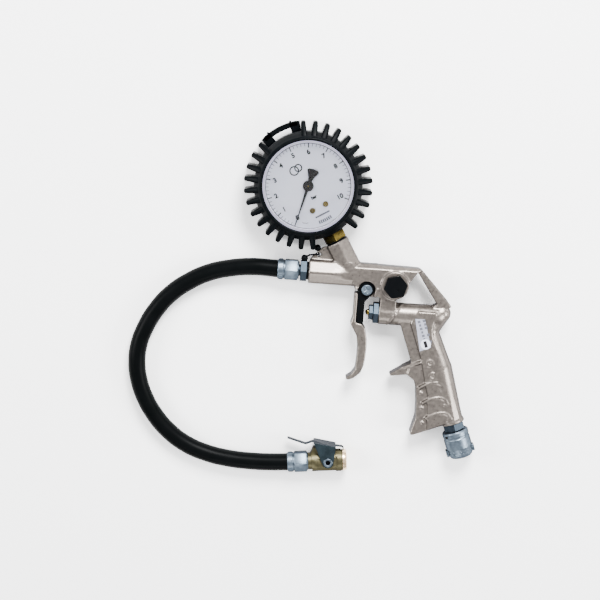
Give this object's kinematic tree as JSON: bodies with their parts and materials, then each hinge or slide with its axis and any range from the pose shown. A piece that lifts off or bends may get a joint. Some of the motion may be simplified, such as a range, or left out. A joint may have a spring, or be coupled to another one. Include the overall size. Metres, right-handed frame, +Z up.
{
  "type": "portable tire inflator",
  "caption": "Pistol-grip tyre inflator with a dial gauge in a finned rubber boot, a trigger valve, a bleed button, a short hose and a clip-on chuck.",
  "frame": {"origin": "centre of the box of the gun with its gauge and coupler, at the height of the surface that it lies on", "axes": "+X along the barrel towards the grip, +Y across the gun towards the gauge, +Z up, away from the surface that it lies on"},
  "size_m": [0.3042, 0.3041, 0.035],
  "materials": {
    "casting": "satin cast",
    "rubber": "matte",
    "black_plastic": "matte",
    "brass": "machined",
    "chuck_brass": "dull nickel over brass",
    "zinc": "zinc plated",
    "coupler_zinc": "satin zinc",
    "clip_steel": "blue-grey spring steel",
    "black_case": "black paint",
    "dial": "matte white",
    "lilac_ring": "satin",
    "needle_black": "satin black",
    "lens": "clear",
    "label": "silver foil"
  },
  "bodies": {
    "gun": {"gun_body": "casting", "pivot_screw": "zinc", "pivot_nut": "zinc", "valve_gland_nut": "zinc", "valve_seat": "brass", "valve_spring": "zinc", "bleed_spring": "zinc", "bleed_gland": "zinc", "inlet_adapter": "zinc", "coupler_sleeve": "coupler_zinc", "coupler_seal": "rubber", "gauge_case": "black_case", "gauge_bezel": "black_case", "gauge_lens": "lens", "spacer_ring": "lilac_ring", "gauge_dial": "dial", "dial_screw_1": "brass", "dial_screw_2": "brass", "gauge_socket": "brass", "socket_washer": "rubber", "bourdon_tube": "brass", "tube_tip": "brass", "movement_front_plate": "brass", "movement_back_plate": "brass", "movement_pillar_1": "brass", "movement_pillar_2": "brass", "hairspring": "zinc", "gauge_boot": "rubber", "hose_nipple": "zinc", "nipple_seal": "rubber", "ferrule_gun": "coupler_zinc", "hose": "rubber", "ferrule_chuck": "coupler_zinc", "chuck_body": "chuck_brass", "chuck_seal": "rubber", "chuck_pin": "brass", "chuck_rivet": "coupler_zinc", "clip_spring": "zinc", "label_plate": "label", "round_sticker": "label", "retaining_tie": "rubber"},
    "trigger": {"trigger_lever": "casting", "trigger_insert": "black_plastic"},
    "valve": {"valve_stem": "brass", "valve_seal": "rubber"},
    "button": {"bleed_button": "black_plastic", "bleed_pin": "brass"},
    "sector": {"sector_gear": "brass"},
    "needle": {"pointer": "needle_black", "pointer_arbor": "brass"},
    "link": {"link_bar": "brass"},
    "clip": {"chuck_clip": "clip_steel"}
  },
  "joints": [
    {"name": "trigger_pivot", "type": "hinge", "parent": "gun", "child": "trigger", "pos_m": [0.0028, 0.0018, 0.0135], "axis": [0, 0, 1], "range_deg": [0, 8.6], "stiffness_Nm_per_rad": 0.6, "springref_deg": -11.46},
    {"name": "valve_slide", "type": "slide", "parent": "gun", "child": "valve", "axis": [1, 0, 0], "range_m": [0, 0.003], "deforming": ["valve_spring"]},
    {"name": "button_slide", "type": "slide", "parent": "gun", "child": "button", "axis": [0, 0, -1], "range_m": [0, 0.0025], "stiffness_N_per_m": 900, "springref_m": -0.002, "deforming": ["bleed_spring"]},
    {"name": "sector_turn", "type": "hinge", "parent": "gun", "child": "sector", "pos_m": [-0.0631, 0.10334, 0.0135], "axis": [0, 0, 1], "range_deg": [0, 30], "stiffness_Nm_per_rad": 0.02, "springref_deg": -2.86},
    {"name": "pointer_turn", "type": "hinge", "parent": "gun", "child": "needle", "pos_m": [-0.0528, 0.0862, 0.0135], "axis": [0, 0, 1], "range_deg": [-270, 0]},
    {"name": "link_swing", "type": "hinge", "parent": "sector", "child": "link", "pos_m": [-0.07079, 0.10114, 0.0135], "axis": [0, 0, 1], "range_deg": [-30, 0]},
    {"name": "clip_pivot", "type": "hinge", "parent": "gun", "child": "clip", "pos_m": [-0.0189, -0.15122, 0.0102], "axis": [0, 0, 1], "range_deg": [0, 12], "stiffness_Nm_per_rad": 0.4, "springref_deg": -17.19}
  ],
  "couplings": [
    {"joint": "valve_slide", "follows": "trigger_pivot", "m_per_rad": 0.0199},
    {"joint": "pointer_turn", "follows": "sector_turn", "ratio": -9},
    {"joint": "link_swing", "follows": "sector_turn", "ratio": -1}
  ]
}
